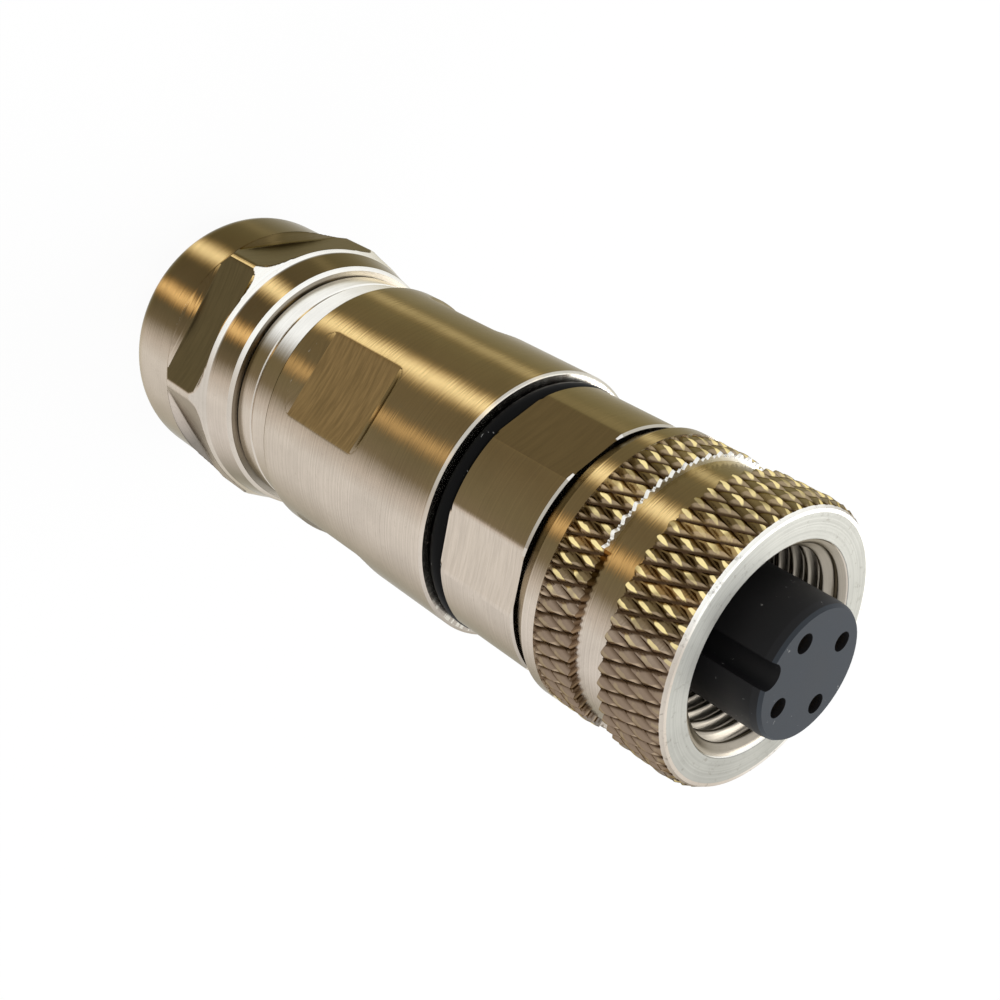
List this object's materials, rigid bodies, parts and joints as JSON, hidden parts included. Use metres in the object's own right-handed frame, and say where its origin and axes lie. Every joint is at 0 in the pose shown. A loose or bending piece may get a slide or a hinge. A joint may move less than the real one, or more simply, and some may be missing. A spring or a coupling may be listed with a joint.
{
  "type": "m12 connector",
  "caption": "Straight metal cable socket with a knurled coupling nut, keyed insert, spanner flats and a domed pressing screw.",
  "frame": {"origin": "centre of the pressing screw's flat rear rim, on which the part stands", "axes": "+Z along the connector's axis towards the mating face; +X at 63.5 degrees before the first contact"},
  "size_m": [0.0188, 0.0182, 0.0527],
  "materials": {
    "nickel_plate": "satin nickel plate over turned brass",
    "gold_plate": "thin gold plate",
    "insert_plastic": "matte moulded",
    "clamp_plastic": "matte moulded",
    "seal_rubber": "matte"
  },
  "bodies": {
    "shell": {"front_shell": "nickel_plate", "body_seal": "seal_rubber", "terminal_block": "clamp_plastic", "contact_carrier": "insert_plastic", "face_seal": "seal_rubber", "nut_clip": "nickel_plate", "contact_1": "gold_plate", "contact_2": "gold_plate", "contact_3": "gold_plate", "contact_4": "gold_plate", "terminal_screw_1": "nickel_plate", "terminal_screw_2": "nickel_plate", "terminal_screw_3": "nickel_plate", "terminal_screw_4": "nickel_plate"},
    "slip": {"nut_slip_ring": "clamp_plastic"},
    "nut": {"coupling_nut": "nickel_plate"},
    "clamp": {"clamp_cage": "clamp_plastic", "cable_grommet": "seal_rubber", "shield_ring": "nickel_plate"},
    "sleeve": {"rear_sleeve": "nickel_plate"},
    "thrust": {"thrust_washer": "nickel_plate"},
    "screw": {"pressing_screw": "nickel_plate"}
  },
  "joints": [
    {"name": "nut_float", "type": "slide", "parent": "shell", "child": "slip", "axis": [0, 0, 1], "range_m": [0, 0.00048]},
    {"name": "nut_spin", "type": "hinge", "parent": "slip", "child": "nut", "pos_m": [0, 0, 0.045], "axis": [0, 0, 1], "continuous": true},
    {"name": "sleeve_travel", "type": "slide", "parent": "shell", "child": "clamp", "axis": [0, 0, -1], "range_m": [0, 0.005]},
    {"name": "sleeve_unscrew", "type": "hinge", "parent": "clamp", "child": "sleeve", "pos_m": [0, 0, 0.022], "axis": [0, 0, -1], "range_deg": [0, 1800]},
    {"name": "screw_travel", "type": "slide", "parent": "sleeve", "child": "thrust", "axis": [0, 0, -1], "range_m": [0, 0.004]},
    {"name": "screw_unscrew", "type": "hinge", "parent": "thrust", "child": "screw", "pos_m": [0, 0, 0.008], "axis": [0, 0, -1], "range_deg": [0, 1440]}
  ],
  "couplings": [
    {"joint": "sleeve_unscrew", "follows": "sleeve_travel", "rad_per_m": 6283.2},
    {"joint": "screw_unscrew", "follows": "screw_travel", "rad_per_m": 6283.2}
  ]
}
